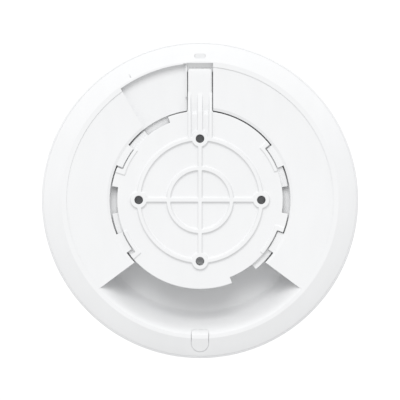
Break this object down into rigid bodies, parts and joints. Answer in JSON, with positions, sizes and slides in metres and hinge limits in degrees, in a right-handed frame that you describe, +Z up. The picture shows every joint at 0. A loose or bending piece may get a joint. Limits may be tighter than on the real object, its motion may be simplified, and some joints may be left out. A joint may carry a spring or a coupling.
{
  "type": "ceiling access point",
  "caption": "Round white wireless access point on a quarter-turn ceiling bracket with a lock arm, a cable bay in the back and a light ring in the domed front.",
  "frame": {"origin": "centre of the bracket's ceiling face, on the ribs that bear on the ceiling", "axes": "+Z up to the ceiling, +Y to the lock arm, -Y to the cable exit, +X to the right seen from the ceiling; the part hangs below the origin"},
  "size_m": [0.16, 0.16, 0.033],
  "materials": {
    "housing_plastic": "fine satin moulding",
    "bracket_plastic": "fine satin moulding",
    "diffuser": "translucent",
    "led": "clear over yellow",
    "sheet_aluminium": "dull rolled sheet",
    "screw_steel": "plated",
    "label": "blank film",
    "circuit_board": "solder mask",
    "shield_tin": "tinned sheet",
    "black_plastic": "moulded",
    "contact_gold": "plated",
    "pad": "soft",
    "can_aluminium": "drawn cans",
    "ferrite": "moulded ferrite",
    "button_plastic": "moulded",
    "antenna_brass": "tinned sheet",
    "chip_plastic": "moulded"
  },
  "bodies": {
    "bracket": {"mount_bracket": "bracket_plastic"},
    "arm": {"lock_arm": "bracket_plastic"},
    "access_point": {"rear_housing": "housing_plastic", "front_cover": "housing_plastic", "light_ring": "diffuser", "light_guide": "diffuser", "leds": "led", "heat_sink_plate": "sheet_aluminium", "heat_sink_screws": "screw_steel", "rating_label": "label", "main_board": "circuit_board", "board_screws": "screw_steel", "rj45_shell": "shield_tin", "rj45_insert": "black_plastic", "rj45_contacts": "contact_gold", "magnetics": "black_plastic", "shield_cpu": "shield_tin", "shield_radio_low": "shield_tin", "shield_radio_high": "shield_tin", "thermal_pad": "pad", "capacitors": "can_aluminium", "inductors": "ferrite", "crystal": "shield_tin", "reset_switch": "black_plastic", "antennas_low": "antenna_brass", "antennas_high": "antenna_brass", "chips": "chip_plastic"},
    "reset": {"reset_button": "button_plastic"},
    "exit_tab": {"cable_exit_tab": "housing_plastic"}
  },
  "joints": [
    {"name": "twist", "type": "hinge", "parent": "bracket", "child": "access_point", "pos_m": [0, 0, 0], "axis": [0, 0, 1], "range_deg": [-30, 0], "deforming": ["lock_arm"]},
    {"name": "arm_flex", "type": "hinge", "parent": "bracket", "child": "arm", "pos_m": [0, 0.0445, -0.0029], "axis": [1, 0, 0], "range_deg": [0, 4], "stiffness_Nm_per_rad": 1.5},
    {"name": "reset_press", "type": "slide", "parent": "access_point", "child": "reset", "axis": [0, 1, 0], "range_m": [0, 0.0006], "stiffness_N_per_m": 800},
    {"name": "exit_tab_pull", "type": "slide", "parent": "access_point", "child": "exit_tab", "axis": [0, 0, 1], "range_m": [0, 0.01]}
  ]
}
